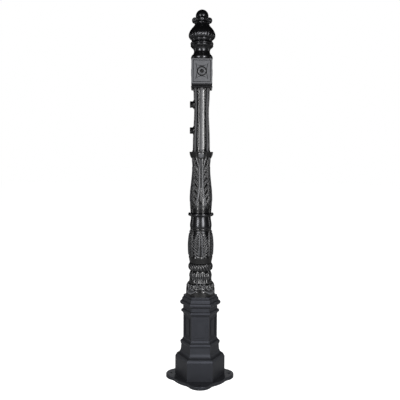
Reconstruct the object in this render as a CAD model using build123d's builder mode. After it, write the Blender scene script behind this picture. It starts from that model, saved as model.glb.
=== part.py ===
from build123d import *
import os
from math import atan2, cos, degrees, radians, sin

os.makedirs("parts", exist_ok=True)

# A cast-iron street post in stacked castings, held together by a steel tube up its middle.
# +Z is up and the origin is the middle of the underside. The front is -Y, the two bracket
# bosses point along -X, and the service door is at the back, +Y. Everything is in millimetres.

# ---- Height of each casting, from the ground up
flange_thick = 20
plinth_high = 127
pedestal_foot_high = 111
pedestal_panel_high = 151
pedestal_shoulder_high = 37
cap_high = 87
collar_high = 155
rope_high = 50
baluster_high = 217
band_high = 77
ring_high = 22
sleeve_high = 378
shaft_high = 387
foot_high = 25
block_high = 149
finial_base_high = 114
bulb_high = 105
crown_high = 88

# ---- Widths: six-sided castings from the axis to a face, round ones by radius
flange_radius = 178
ear_reach = 216
ear_radius = 75
ear_blend = 60
bolt_circle = 370
bolt_hole_radius = 9
plinth_flat = 136.8
plinth_bevel = 11
plinth_top_flat = plinth_flat - 6
pedestal_foot_flat = plinth_flat - 7.3
pedestal_flat = 93
shoulder_nose_flat = pedestal_flat + 12.3
cap_neck_flat = pedestal_flat + 1.2
cap_nose_flat = cap_neck_flat + 17.2
cap_top_flat = pedestal_flat - 1.6
bell_radius = 91
collar_waist = 73.4
notch_radius = 65.5
rope_radius = 78
baluster_radius = 80.6
band_radius = 68
ring_radius = 80
sleeve_radius = 71
sleeve_waist = 56
sleeve_rim = 74.5
shaft_foot_radius = 53
shaft_waist = 46.4
shaft_top_radius = 57
foot_half_wide = 65.5
block_half_wide = 64
finial_disc_radius = 67
finial_neck = 50
finial_nose = 72
bulb_radius = 82.8
crown_neck = 44
crown_reach = 62.6
ball_radius = 39.4

# ---- Flutes, bosses and block ornament
flutes = 8
flute_radius = 5.5
flute_deep = 4
boss_radius = 20
boss_root_radius = 28
boss_reach = 72
boss_pitch = 160
upper_boss_drop = 94.6
groove_wide = 3.6
groove_deep = 4
frame_half_wide = 54
frame_half_high = 66.5
rosette_radius = 30
rosette_hole_radius = 12.5
petal_half_wide = 39
petal_half_high = 50

# ---- Casting walls and the steel core
wall = 12
tube_radius = 30
tube_wall = 4
core_bore = tube_radius + 4
seat_radius = core_bore + 6
seat_deep = 6
plate_thick = 12
ring_nut_radius = tube_radius + 8
ring_nut_thick = 14
stud_radius = 8
insert_radius = 13
insert_long = 30
insert_bore = 8
slip = 0.05

# ---- Service door in the back of the pedestal
door_wide = 88
door_tall = 138
panel_step = 3
inner_panel_wide = door_wide - 50
inner_panel_tall = door_tall - 34
rebate_deep = 9
lip_thick = 5
lip_wide = 6
gasket_thick = 2
door_gap = 1
door_seat_gap = 0.3
knuckle_radius = 4
knuckle_tall = 16
knuckle_lug = 9
knuckle_gap = 0.3
hinge_half_pitch = 45
hinge_pin_radius = 2
lock_inset = 17
lock_bush_radius = 6.5
lock_spindle_radius = 4.5
cam_thick = 3
cam_wide = 13
cam_reach = 17
cam_lip_gap = 0.5

# ---- Levels that follow from the heights
pedestal_z = flange_thick + plinth_high
panel_z = pedestal_z + pedestal_foot_high
shoulder_z = panel_z + pedestal_panel_high
cap_z = shoulder_z + pedestal_shoulder_high
collar_z = cap_z + cap_high
rope_z = collar_z + collar_high
baluster_z = rope_z + rope_high
band_z = baluster_z + baluster_high
ring_z = band_z + band_high
sleeve_z = ring_z + ring_high
shaft_z = sleeve_z + sleeve_high
foot_z = shaft_z + shaft_high
block_z = foot_z + foot_high
finial_z = block_z + block_high
bulb_z = finial_z + finial_base_high
crown_z = bulb_z + bulb_high
top_z = crown_z + crown_high

FACE_ANGLES = (-90, -30, 30)
PANEL_ANGLES = (-90, -30, 30, 150, 210)
BLOCK_ANGLES = (-90, 0, 90, 180)


def outward(angle):
    """Level direction out from the axis at this angle."""
    return Vector(cos(radians(angle)), sin(radians(angle)), 0)


def section_plane(angle):
    """Upright plane through the axis: its x points out at this angle and its y is up."""
    return Plane(origin=(0, 0, 0), x_dir=outward(angle), z_dir=outward(angle - 90))


def face_plane(angle, distance, height):
    """Upright plane that faces out at this angle, its origin at this distance and height."""
    middle = distance * outward(angle) + Vector(0, 0, height)
    return Plane(origin=middle, x_dir=outward(angle + 90), z_dir=outward(angle))


def core(bottom, top, hollow_radius=0):
    """What the sand core leaves in a round casting: the tube bore, two ring seats, a hollow."""
    with BuildPart() as inside:
        with BuildSketch(Plane.XY.offset(bottom)):
            Circle(core_bore)
        extrude(amount=top - bottom)
        with BuildSketch(Plane.XY.offset(bottom), Plane.XY.offset(top - seat_deep)):
            Circle(seat_radius)
        extrude(amount=seat_deep)
        if hollow_radius:
            with BuildSketch(Plane.XY.offset(bottom + wall)):
                Circle(hollow_radius)
            extrude(amount=top - bottom - 2 * wall)
    return inside.part


def six_sided_void(half_flat, bottom, top):
    """Six-sided hollow with faces at this distance from the axis."""
    with BuildPart() as inside:
        with BuildSketch(Plane.XY.offset(bottom)):
            RegularPolygon(half_flat, 6, major_radius=False)
        extrude(amount=top - bottom)
    return inside.part


def export(piece, label):
    """Name a finished piece and write it."""
    piece.part.label = label
    export_step(piece.part, f"parts/{label}.step")


# ---------------------------------------------------------------- base casting
# Round flange with four bolted ears and a six-sided plinth on it, open underneath. Its top
# plate carries the bridge plate and the pedestal.
base_top_plate_z = pedestal_z - plate_thick
plinth_slope = degrees(atan2(plinth_flat - plinth_top_flat, plinth_bevel))
base_nut_hole = ring_nut_radius + 2
flange_edge_round = 3
with BuildPart() as base_casting:
    with BuildSketch() as flange:
        Circle(flange_radius)
        with PolarLocations(ear_reach - ear_radius, 4):
            Circle(ear_radius)
        fillet(flange.vertices(), ear_blend)
    extrude(amount=flange_thick)
    fillet(base_casting.faces().sort_by(Axis.Z)[-1].edges(), flange_edge_round)
    with BuildSketch(Plane.XY.offset(flange_thick)):
        RegularPolygon(plinth_flat, 6, major_radius=False)
    extrude(amount=plinth_high - plinth_bevel)
    with BuildSketch(Plane.XY.offset(pedestal_z - plinth_bevel)):
        RegularPolygon(plinth_flat, 6, major_radius=False)
    extrude(amount=plinth_bevel, taper=plinth_slope)
    add(six_sided_void(plinth_flat - wall, 0, base_top_plate_z), mode=Mode.SUBTRACT)
    with BuildSketch(Plane.XY.offset(base_top_plate_z)):
        Circle(base_nut_hole)
    extrude(amount=plate_thick, mode=Mode.SUBTRACT)
    with BuildSketch():
        with PolarLocations(bolt_circle / 2, 4):
            Circle(bolt_hole_radius)
    extrude(amount=flange_thick, mode=Mode.SUBTRACT)

# ---------------------------------------------------------------- pedestal casting
# Six-sided shaft with sunk panels, a cove and a nose round its foot and a nose round its
# shoulder. The back face holds the doorway and the two pairs of hinge lugs.
nose_high = 42
nose_step = 3
nose_step_high = 5
foot_nose_flat = pedestal_flat + 16.1
foot_lip_high = 6
cove_high = 31
cove_radius = 36
cove_top_flat = pedestal_flat + 13
slope_top_flat = pedestal_flat + 10.8
throat_high = 9
throat_flat = pedestal_flat + 3
shoulder_nose_rise = 22
shoulder_lip = 3
panel_border = 10
foot_hollow_flat = cove_top_flat - 8
foot_hollow_drop = 53
foot_ledge_radius = 86
head_plate = 10
shaft_hollow_flat = pedestal_flat - rebate_deep - lip_thick
hinge_inset = 2
hinge_x = door_wide / 2 + hinge_inset
hinge_stand = 0.5
hinge_y = pedestal_flat + knuckle_radius + hinge_stand
lug_foot_wide = 9
lug_foot_thick = 2.5
lug_foot_inset = 1.7
lug_foot_x = hinge_x + lug_foot_wide / 2 - lug_foot_inset
panel_margin = (pedestal_panel_high - door_tall) / 2
door_z = panel_z + panel_margin + door_tall / 2
pedestal_half_wide = 2 * plinth_flat
ledge_z = pedestal_z + plate_thick
cove_foot_z = pedestal_z + foot_lip_high
nose_foot_z = panel_z - nose_high
PANEL_FACES = [face_plane(angle, pedestal_flat, door_z) for angle in PANEL_ANGLES]
HINGE_HEIGHTS = (door_z - hinge_half_pitch, door_z + hinge_half_pitch)
LUG_HEIGHTS = [middle + knuckle_tall / 2 + knuckle_gap for middle in HINGE_HEIGHTS]
LUG_HEIGHTS += [middle - knuckle_tall / 2 - knuckle_gap - knuckle_lug for middle in HINGE_HEIGHTS]
with BuildPart() as pedestal_casting:
    for angle in FACE_ANGLES:
        with BuildSketch(section_plane(angle)):
            with BuildLine():
                foot = Polyline(
                    (0, pedestal_z),
                    (pedestal_foot_flat, pedestal_z),
                    (pedestal_foot_flat, cove_foot_z),
                )
                cove = RadiusArc(foot @ 1, (cove_top_flat, cove_foot_z + cove_high), cove_radius)
                lower_steps = Polyline(
                    cove @ 1,
                    (slope_top_flat, nose_foot_z),
                    (slope_top_flat + nose_step, nose_foot_z),
                    (slope_top_flat + nose_step, nose_foot_z + nose_step_high),
                )
                lower_nose = ThreePointArc(
                    lower_steps @ 1,
                    (foot_nose_flat, nose_foot_z + nose_high * 0.4),
                    (slope_top_flat, nose_foot_z + nose_high * 0.62),
                )
                upper_steps = Polyline(
                    lower_nose @ 1,
                    (pedestal_flat + 2 * nose_step, nose_foot_z + nose_high * 0.62),
                    (pedestal_flat + 2 * nose_step, nose_foot_z + nose_high * 0.8),
                    (pedestal_flat + nose_step, nose_foot_z + nose_high * 0.84),
                    (pedestal_flat, panel_z),
                    (pedestal_flat, shoulder_z),
                    (throat_flat, shoulder_z + throat_high),
                )
                upper_nose = ThreePointArc(
                    upper_steps @ 1,
                    (shoulder_nose_flat, shoulder_z + shoulder_nose_rise),
                    (throat_flat, cap_z - shoulder_lip),
                )
                Polyline(upper_nose @ 1, (cap_neck_flat, cap_z), (0, cap_z), (0, pedestal_z))
            make_face()
            mirror(about=Plane.YZ)
        extrude(
            amount=pedestal_half_wide,
            both=True,
            mode=Mode.ADD if angle == FACE_ANGLES[0] else Mode.INTERSECT,
        )
    # sunk panels on the five plain faces, each with a raised field
    with BuildSketch(*PANEL_FACES):
        Rectangle(door_wide, door_tall)
    extrude(amount=-panel_step, mode=Mode.SUBTRACT)
    with BuildSketch(*[plane.offset(-panel_step) for plane in PANEL_FACES]):
        Rectangle(door_wide - 2 * panel_border, door_tall - 2 * panel_border)
        Rectangle(inner_panel_wide, inner_panel_tall, mode=Mode.SUBTRACT)
    extrude(amount=-panel_step, mode=Mode.SUBTRACT)
    # hollows, with a bolting ledge at the foot and a plate at the head
    add(six_sided_void(foot_hollow_flat, ledge_z, panel_z - foot_hollow_drop), mode=Mode.SUBTRACT)
    add(six_sided_void(shaft_hollow_flat, ledge_z, cap_z - head_plate), mode=Mode.SUBTRACT)
    with BuildSketch(Plane.XY.offset(pedestal_z)):
        Circle(foot_ledge_radius)
    extrude(amount=plate_thick, mode=Mode.SUBTRACT)
    with BuildSketch(Plane.XY.offset(cap_z - head_plate)):
        Circle(base_nut_hole)
    extrude(amount=head_plate, mode=Mode.SUBTRACT)
    # doorway: a rebate for the door and a lip behind it for the gasket
    with BuildSketch(face_plane(90, pedestal_flat, door_z)):
        Rectangle(door_wide, door_tall)
    extrude(amount=-rebate_deep, mode=Mode.SUBTRACT)
    with BuildSketch(face_plane(90, pedestal_flat, door_z)):
        Rectangle(door_wide - 2 * lip_wide, door_tall - 2 * lip_wide)
    extrude(amount=-rebate_deep - lip_thick, mode=Mode.SUBTRACT)
    # hinge lugs cast on the back face
    for height in LUG_HEIGHTS:
        with BuildSketch(Plane.XY.offset(height)):
            with Locations((lug_foot_x, pedestal_flat + lug_foot_thick / 2)):
                Rectangle(lug_foot_wide, lug_foot_thick)
            with Locations((hinge_x, hinge_y)):
                Circle(knuckle_radius)
        extrude(amount=knuckle_lug)
        with BuildSketch(Plane.XY.offset(height)):
            with Locations((hinge_x, hinge_y)):
                Circle(hinge_pin_radius + slip)
        extrude(amount=knuckle_lug, mode=Mode.SUBTRACT)

# ---------------------------------------------------------------- pedestal cap
# Six-sided neck, nose and stepped top, bolted to the pedestal through a ledge inside its foot.
ledge_thick = 10
cap_hollow_flat = cap_neck_flat - 14.2
cap_ledge_radius = 58
neck_high = 19
neck_flare = 2.5
nose_rise = 40
nose_end_flat = cap_neck_flat + 7.5
nose_end_rise = 53
step_flat = cap_neck_flat + 5.4
step_rise = 60
shoulder_radius = 14
shoulder_flat = cap_top_flat + 1
rim_high = 12
rim_bevel = 2
with BuildPart() as pedestal_cap:
    for angle in FACE_ANGLES:
        with BuildSketch(section_plane(angle)):
            with BuildLine():
                neck = Polyline(
                    (0, cap_z),
                    (cap_neck_flat, cap_z),
                    (cap_neck_flat, cap_z + neck_high),
                    (cap_neck_flat + neck_flare, cap_z + neck_high + rim_bevel),
                )
                nose = ThreePointArc(
                    neck @ 1, (cap_nose_flat, cap_z + nose_rise), (nose_end_flat, cap_z + nose_end_rise)
                )
                step = Line(nose @ 1, (step_flat, cap_z + step_rise))
                shoulder = RadiusArc(step @ 1, (shoulder_flat, collar_z - rim_high), -shoulder_radius)
                Polyline(
                    shoulder @ 1,
                    (shoulder_flat, collar_z - rim_bevel),
                    (cap_top_flat, collar_z),
                    (0, collar_z),
                    (0, cap_z),
                )
            make_face()
            mirror(about=Plane.YZ)
        extrude(
            amount=pedestal_half_wide,
            both=True,
            mode=Mode.ADD if angle == FACE_ANGLES[0] else Mode.INTERSECT,
        )
    add(six_sided_void(cap_hollow_flat, cap_z + ledge_thick, collar_z - wall), mode=Mode.SUBTRACT)
    with BuildSketch(Plane.XY.offset(cap_z)):
        Circle(cap_ledge_radius)
    extrude(amount=ledge_thick, mode=Mode.SUBTRACT)
    with BuildSketch(Plane.XY.offset(collar_z - wall)):
        Circle(core_bore)
    extrude(amount=wall, mode=Mode.SUBTRACT)
    with BuildSketch(Plane.XY.offset(collar_z - seat_deep)):
        Circle(seat_radius)
    extrude(amount=seat_deep, mode=Mode.SUBTRACT)

# ---------------------------------------------------------------- neck collar
# Round bell standing on the cap, then a scrolled skirt and a gadrooned bulge.
bell_high = 39
collar_hollow = 58
bell_shrink = 7.3
bulge_swell = 2.6
with BuildPart() as neck_collar:
    with BuildSketch(Plane.XZ):
        with BuildLine():
            bell = Polyline((0, collar_z), (bell_radius, collar_z), (bell_radius, collar_z + bell_high))
            skirt = Spline(
                bell @ 1,
                (bell_radius - bell_shrink, collar_z + 0.41 * collar_high),
                (collar_waist, collar_z + 0.645 * collar_high),
                (collar_waist + bulge_swell, collar_z + 0.8 * collar_high),
                (notch_radius, rope_z),
            )
            Polyline(skirt @ 1, (0, rope_z), (0, collar_z))
        make_face()
    revolve(axis=Axis.Z)
    add(core(collar_z, rope_z, collar_hollow), mode=Mode.SUBTRACT)

# ---------------------------------------------------------------- rope ring
# One thick ring, cast as a twisted rope.
with BuildPart() as rope_ring:
    with BuildSketch(Plane.XZ):
        with BuildLine():
            rope_foot = Line((0, rope_z), (notch_radius, rope_z))
            rope_side = ThreePointArc(
                rope_foot @ 1, (rope_radius, rope_z + rope_high / 2), (notch_radius, baluster_z)
            )
            Polyline(rope_side @ 1, (0, baluster_z), (0, rope_z))
        make_face()
    revolve(axis=Axis.Z)
    add(core(rope_z, baluster_z), mode=Mode.SUBTRACT)

# ---------------------------------------------------------------- leaf baluster
# Full-bellied baluster wrapped in four leaves.
belly_foot_step = 3
belly_low_in = 2.9
belly_high_in = 4.2
baluster_hollow = 56
with BuildPart() as leaf_baluster:
    with BuildSketch(Plane.XZ):
        with BuildLine():
            belly_foot = Line((0, baluster_z), (notch_radius + belly_foot_step, baluster_z))
            belly = Spline(
                belly_foot @ 1,
                (baluster_radius - belly_low_in, baluster_z + 0.21 * baluster_high),
                (baluster_radius, baluster_z + 0.5 * baluster_high),
                (baluster_radius - belly_high_in, baluster_z + 0.765 * baluster_high),
                (notch_radius, band_z),
            )
            Polyline(belly @ 1, (0, band_z), (0, baluster_z))
        make_face()
    revolve(axis=Axis.Z)
    add(core(baluster_z, band_z, baluster_hollow), mode=Mode.SUBTRACT)

# ---------------------------------------------------------------- plain band
# Smooth tapering neck above the baluster.
band_taper = 3.3
band_top_in = 4.8
band_hollow = 48
with BuildPart() as plain_band:
    with BuildSketch(Plane.XZ):
        with BuildLine():
            band_foot = Line((0, band_z), (notch_radius, band_z))
            band_side = Spline(
                band_foot @ 1,
                (band_radius, band_z + 0.17 * band_high),
                (band_radius - band_taper, band_z + 0.62 * band_high),
                (band_radius - band_top_in, ring_z),
            )
            Polyline(band_side @ 1, (0, ring_z), (0, band_z))
        make_face()
    revolve(axis=Axis.Z)
    add(core(band_z, ring_z, band_hollow), mode=Mode.SUBTRACT)

# ---------------------------------------------------------------- collar ring
# Thin rounded ring under the leaf sleeve.
with BuildPart() as collar_ring:
    with BuildSketch(Plane.XZ):
        with BuildLine():
            ring_foot = Line((0, ring_z), (ring_radius - ring_high / 2, ring_z))
            ring_side = ThreePointArc(
                ring_foot @ 1,
                (ring_radius, ring_z + ring_high / 2),
                (ring_radius - ring_high / 2, sleeve_z),
            )
            Polyline(ring_side @ 1, (0, sleeve_z), (0, ring_z))
        make_face()
    revolve(axis=Axis.Z)
    add(core(ring_z, sleeve_z), mode=Mode.SUBTRACT)

# ---------------------------------------------------------------- leaf sleeve
# Tall waisted sleeve of four leaves, its rim flared and its top dished round the shaft.
dish_deep = 5
rim_round = 3
sleeve_foot_in = 6
sleeve_hollow = 44
dish_edge = 4
with BuildPart() as leaf_sleeve:
    with BuildSketch(Plane.XZ):
        with BuildLine():
            sleeve_foot = Line((0, sleeve_z), (sleeve_radius - sleeve_foot_in, sleeve_z))
            sleeve_side = Spline(
                sleeve_foot @ 1,
                (sleeve_radius - 1.3, sleeve_z + 0.12 * sleeve_high),
                (sleeve_radius - 0.6, sleeve_z + 0.29 * sleeve_high),
                (sleeve_waist + 4.9, sleeve_z + 0.54 * sleeve_high),
                (sleeve_waist, sleeve_z + 0.72 * sleeve_high),
                (sleeve_waist + 4.4, sleeve_z + 0.87 * sleeve_high),
                (sleeve_rim, shaft_z - rim_round),
            )
            lip = RadiusArc(sleeve_side @ 1, (sleeve_rim - rim_round, shaft_z), -rim_round)
            dish = ThreePointArc(
                lip @ 1,
                ((sleeve_rim + shaft_foot_radius) / 2, shaft_z - dish_deep),
                (shaft_foot_radius + dish_edge, shaft_z),
            )
            Polyline(dish @ 1, (0, shaft_z), (0, sleeve_z))
        make_face()
    revolve(axis=Axis.Z)
    add(core(sleeve_z, shaft_z, sleeve_hollow), mode=Mode.SUBTRACT)

# ---------------------------------------------------------------- fluted shaft
# Slender waisted shaft with eight narrow flutes, and two tapped bosses on its left side.
flute_z = shaft_z + 28
flute_runout = 5
foot_flare = 3
foot_flare_high = 12
foot_flare_radius = 13
boss_edge = 1
upper_boss_z = foot_z - upper_boss_drop
BOSS_HEIGHTS = (upper_boss_z, upper_boss_z - boss_pitch)
boss_root_reach = 46
boss_neck_reach = 54
outlet_radius = 9
SHAFT_SHAPE = (
    (shaft_foot_radius, 0.13),
    (shaft_foot_radius - 4.2, 0.44),
    (shaft_waist, 0.7),
    (shaft_waist + 3.6, 0.91),
    (shaft_waist + 6, 0.975),
)
flute_inset = flute_radius - flute_deep
with BuildPart() as flute_cutter:
    with BuildLine(section_plane(180 / flutes)):
        flute_run = Spline(
            (shaft_foot_radius + flute_inset, flute_z),
            *[(radius + flute_inset, shaft_z + rise * shaft_high) for radius, rise in SHAFT_SHAPE[1:]],
            (shaft_waist + 8 + flute_inset, foot_z + flute_runout),
        )
    with BuildSketch(Plane(origin=flute_run @ 0, z_dir=flute_run % 0)):
        Circle(flute_radius)
    sweep()
    with Locations(flute_run @ 0):
        Sphere(flute_radius)
with BuildPart() as fluted_shaft:
    with BuildSketch(Plane.XZ):
        with BuildLine():
            shaft_foot = Line((0, shaft_z), (shaft_foot_radius + foot_flare, shaft_z))
            fillet_arc = RadiusArc(
                shaft_foot @ 1, (shaft_foot_radius, shaft_z + foot_flare_high), -foot_flare_radius
            )
            shaft_line = Spline(
                fillet_arc @ 1,
                *[(radius, shaft_z + share * shaft_high) for radius, share in SHAFT_SHAPE],
                (shaft_top_radius, foot_z),
            )
            Polyline(shaft_line @ 1, (0, foot_z), (0, shaft_z))
        make_face()
    revolve(axis=Axis.Z)
    with PolarLocations(0, flutes):
        add(flute_cutter.part, mode=Mode.SUBTRACT)
    for height in BOSS_HEIGHTS:
        with BuildSketch(Plane.XZ):
            with BuildLine():
                Polyline(
                    (-tube_radius, height),
                    (-boss_reach, height),
                    (-boss_reach, height + boss_radius - boss_edge),
                    (-boss_reach + boss_edge, height + boss_radius),
                    (-boss_neck_reach, height + boss_radius),
                )
                RadiusArc(
                    (-boss_neck_reach, height + boss_radius),
                    (-boss_root_reach, height + boss_root_radius),
                    boss_root_radius - boss_radius + boss_edge,
                )
                Polyline(
                    (-boss_root_reach, height + boss_root_radius),
                    (-tube_radius, height + boss_root_radius),
                    (-tube_radius, height),
                )
            make_face()
        revolve(axis=Axis((0, 0, height), (1, 0, 0)))
    add(core(shaft_z, foot_z), mode=Mode.SUBTRACT)
    with BuildSketch(*[face_plane(180, boss_reach, height) for height in BOSS_HEIGHTS]):
        Circle(insert_radius + slip)
    extrude(amount=-insert_long, mode=Mode.SUBTRACT)
    with BuildSketch(*[face_plane(180, boss_reach - insert_long, height) for height in BOSS_HEIGHTS]):
        Circle(outlet_radius)
    extrude(amount=-(boss_reach - insert_long), mode=Mode.SUBTRACT)

# ---------------------------------------------------------------- capital foot
# Square moulding under the block: a lip, a scotia and a fillet.
foot_round = 5
foot_lip_edge = 3
scotia_radius = 7.5
scotia_fillet = 4
with BuildPart() as capital_foot:
    for angle in (0, 90):
        with BuildSketch(section_plane(angle)):
            with BuildLine():
                under = Polyline((0, foot_z), (foot_half_wide - foot_round, foot_z))
                lip_round = RadiusArc(under @ 1, (foot_half_wide, foot_z + foot_round), -foot_round)
                lip_edge = Line(lip_round @ 1, (foot_half_wide, foot_z + foot_round + foot_lip_edge))
                scotia = RadiusArc(
                    lip_edge @ 1, (block_half_wide, block_z - scotia_fillet), scotia_radius
                )
                Polyline(scotia @ 1, (block_half_wide, block_z), (0, block_z), (0, foot_z))
            make_face()
            mirror(about=Plane.YZ)
        extrude(
            amount=2 * foot_half_wide,
            both=True,
            mode=Mode.INTERSECT if angle else Mode.ADD,
        )
    add(core(foot_z, block_z), mode=Mode.SUBTRACT)

# ---------------------------------------------------------------- capital block
# Square block with a ruled frame, a four-pointed leaf and a round rosette on every face.
rosette_recess = 5
rosette_ring_radius = 20
rosette_ring_thick = 6
rosette_ring_sunk = 4
rosette_screw_radius = 6
rosette_thread_radius = 4
block_edge_round = 2.5
block_hollow = 46
petal_waist_x = rosette_radius + 1
petal_waist_y = rosette_radius + 2
BLOCK_FACES = [face_plane(angle, block_half_wide, block_z + block_high / 2) for angle in BLOCK_ANGLES]


def star(inset):
    """Four-pointed leaf outline with hollow sides, drawn in by this much."""
    tip_x = petal_half_wide - inset * 1.5
    tip_y = petal_half_high - inset * 1.5
    waist_x = petal_waist_x - inset
    waist_y = petal_waist_y - inset
    with BuildSketch() as leaf:
        with BuildLine():
            ThreePointArc((-tip_x, tip_y), (0, waist_y), (tip_x, tip_y))
            ThreePointArc((tip_x, tip_y), (waist_x, 0), (tip_x, -tip_y))
            ThreePointArc((tip_x, -tip_y), (0, -waist_y), (-tip_x, -tip_y))
            ThreePointArc((-tip_x, -tip_y), (-waist_x, 0), (-tip_x, tip_y))
        make_face()
    return leaf.sketch


with BuildPart() as capital_block:
    with BuildSketch(Plane.XY.offset(block_z)):
        Rectangle(2 * block_half_wide, 2 * block_half_wide)
    extrude(amount=block_high)
    fillet(capital_block.edges().filter_by(Axis.Z), block_edge_round)
    add(core(block_z, finial_z, block_hollow), mode=Mode.SUBTRACT)
    with Locations(*[plane.offset(-rosette_ring_sunk) for plane in BLOCK_FACES]):
        Torus(rosette_ring_radius, rosette_ring_thick)
    with BuildSketch(*BLOCK_FACES):
        Rectangle(2 * frame_half_wide, 2 * frame_half_high)
        Rectangle(
            2 * (frame_half_wide - groove_wide),
            2 * (frame_half_high - groove_wide),
            mode=Mode.SUBTRACT,
        )
    extrude(amount=-groove_deep, mode=Mode.SUBTRACT)
    with BuildSketch(*BLOCK_FACES):
        add(star(0))
        add(star(groove_wide), mode=Mode.SUBTRACT)
    extrude(amount=-groove_deep, mode=Mode.SUBTRACT)
    with BuildSketch(*BLOCK_FACES):
        Circle(rosette_radius)
        Circle(rosette_radius - groove_wide, mode=Mode.SUBTRACT)
    extrude(amount=-groove_deep, mode=Mode.SUBTRACT)
    with BuildSketch(*[plane.offset(rosette_ring_thick) for plane in BLOCK_FACES]):
        Circle(rosette_hole_radius)
    extrude(amount=-rosette_recess - rosette_ring_thick, mode=Mode.SUBTRACT)
    with BuildSketch(*BLOCK_FACES):
        Circle(rosette_thread_radius + slip)
    extrude(amount=-wall - rosette_recess, mode=Mode.SUBTRACT)

# ---------------------------------------------------------------- finial base
# Round disc, neck and rounded nose; the top washer and ring nut sit in a recess underneath.
disc_high = 29
washer_radius = 46
washer_thick = 6
nut_room_high = 24
finial_hollow = 32
disc_foot_in = 6
disc_low_in = 1.5
disc_top_in = 5
neck_swell = 0.6
nose_root_in = 9
nose_top_in = 10
with BuildPart() as finial_base:
    with BuildSketch(Plane.XZ):
        with BuildLine():
            disc = Polyline((0, finial_z), (finial_disc_radius - disc_foot_in, finial_z))
            disc_side = Spline(
                disc @ 1,
                (finial_disc_radius - disc_low_in, finial_z + 0.2 * disc_high),
                (finial_disc_radius, finial_z + 0.55 * disc_high),
                (finial_disc_radius - disc_top_in, finial_z + disc_high),
            )
            bulb_neck = ThreePointArc(
                disc_side @ 1,
                (finial_neck + neck_swell, finial_z + 0.39 * finial_base_high),
                (finial_nose - nose_root_in, finial_z + 0.68 * finial_base_high),
            )
            finial_nose_arc = ThreePointArc(
                bulb_neck @ 1,
                (finial_nose, finial_z + 0.82 * finial_base_high),
                (finial_nose - nose_top_in, bulb_z),
            )
            Polyline(finial_nose_arc @ 1, (0, bulb_z), (0, finial_z))
        make_face()
    revolve(axis=Axis.Z)
    with BuildSketch(Plane.XY.offset(finial_z)):
        Circle(washer_radius + slip)
    extrude(amount=nut_room_high, mode=Mode.SUBTRACT)
    with BuildSketch(Plane.XY.offset(finial_z + nut_room_high)):
        Circle(finial_hollow)
    extrude(amount=finial_base_high - nut_room_high - wall, mode=Mode.SUBTRACT)
    with BuildSketch(Plane.XY.offset(finial_z)):
        Circle(stud_radius + slip)
    extrude(amount=finial_base_high, mode=Mode.SUBTRACT)

# ---------------------------------------------------------------- finial bulb
# Gadrooned bulb, held between the base and the crown.
bulb_low_in = 6.3
bulb_high_in = 14
with BuildPart() as finial_bulb:
    with BuildSketch(Plane.XZ):
        with BuildLine():
            bulb_foot = Line((0, bulb_z), (finial_nose - nose_top_in, bulb_z))
            bulb_side = Spline(
                bulb_foot @ 1,
                (bulb_radius - bulb_low_in, bulb_z + 0.16 * bulb_high),
                (bulb_radius, bulb_z + 0.33 * bulb_high),
                (bulb_radius - bulb_high_in, bulb_z + 0.68 * bulb_high),
                (crown_neck, crown_z),
            )
            Polyline(bulb_side @ 1, (0, crown_z), (0, bulb_z))
        make_face()
    revolve(axis=Axis.Z)
    with BuildSketch(Plane.XY.offset(bulb_z + wall)):
        Circle(finial_hollow)
    extrude(amount=bulb_high - 2 * wall, mode=Mode.SUBTRACT)
    with BuildSketch(Plane.XY.offset(bulb_z)):
        Circle(stud_radius + slip)
    extrude(amount=bulb_high, mode=Mode.SUBTRACT)

# ---------------------------------------------------------------- finial crown
# Cup of four curled lobes with a ball in it, tapped to screw onto the stud.
lobe_radius = 15
lobe_rise = 20
cup_high = 14
cup_inset = 8
cup_lip_radius = 16
ball_z = top_z - ball_radius
ball_seat_z = ball_z - 10
stud_top_z = ball_z - stud_radius
with BuildPart() as finial_crown:
    with BuildSketch(Plane.XZ):
        with BuildLine():
            cup = Polyline(
                (0, crown_z), (crown_neck, crown_z), (crown_reach - cup_inset, crown_z + cup_high)
            )
            cup_lip = RadiusArc(cup @ 1, (ball_radius, ball_seat_z), -cup_lip_radius)
            Polyline(cup_lip @ 1, (0, ball_seat_z), (0, crown_z))
        make_face()
    revolve(axis=Axis.Z)
    with Locations((0, 0, ball_z)):
        Sphere(ball_radius)
    with PolarLocations(crown_reach - lobe_radius, 4):
        with Locations((0, 0, crown_z + lobe_rise)):
            Sphere(lobe_radius)
    with BuildSketch(Plane.XY.offset(crown_z)):
        Circle(stud_radius + slip)
    extrude(amount=stud_top_z - crown_z, mode=Mode.SUBTRACT)

# ---------------------------------------------------------------- steel core
# Tube up the middle with a cable window behind the door and an outlet at each boss. Three
# ring nuts, two at the bridge plate and one on the block, pull the castings together.
bridge_plate_radius = 84
tube_foot_proud = 9
tube_head_proud = 3
tube_foot_z = base_top_plate_z - plate_thick - ring_nut_thick - tube_foot_proud
tube_head_z = finial_z + washer_thick + ring_nut_thick + tube_head_proud
window_wide = 26
window_high = 60
window_z = panel_z - 42
plug_high = 24
bush_lip = 4
bush_spigot = 10
stud_chamfer = 1
nut_slot_deep = 5
nut_slot_wide = 8
tube_bore = tube_radius - tube_wall
with BuildPart() as core_tube:
    with BuildSketch(Plane.XY.offset(tube_foot_z)):
        Circle(tube_radius)
        Circle(tube_bore, mode=Mode.SUBTRACT)
    extrude(amount=tube_head_z - tube_foot_z)
    with BuildSketch(face_plane(90, 0, window_z)):
        SlotOverall(window_high, window_wide, rotation=90)
    extrude(amount=tube_radius, mode=Mode.SUBTRACT)
    with BuildSketch(*[face_plane(180, 0, height) for height in BOSS_HEIGHTS]):
        Circle(outlet_radius)
    extrude(amount=tube_radius, mode=Mode.SUBTRACT)

with BuildPart() as tube_plug:
    with BuildSketch(Plane.XY.offset(tube_head_z - plug_high)):
        Circle(tube_bore - slip)
        Circle(stud_radius + slip, mode=Mode.SUBTRACT)
    extrude(amount=plug_high)

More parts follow.
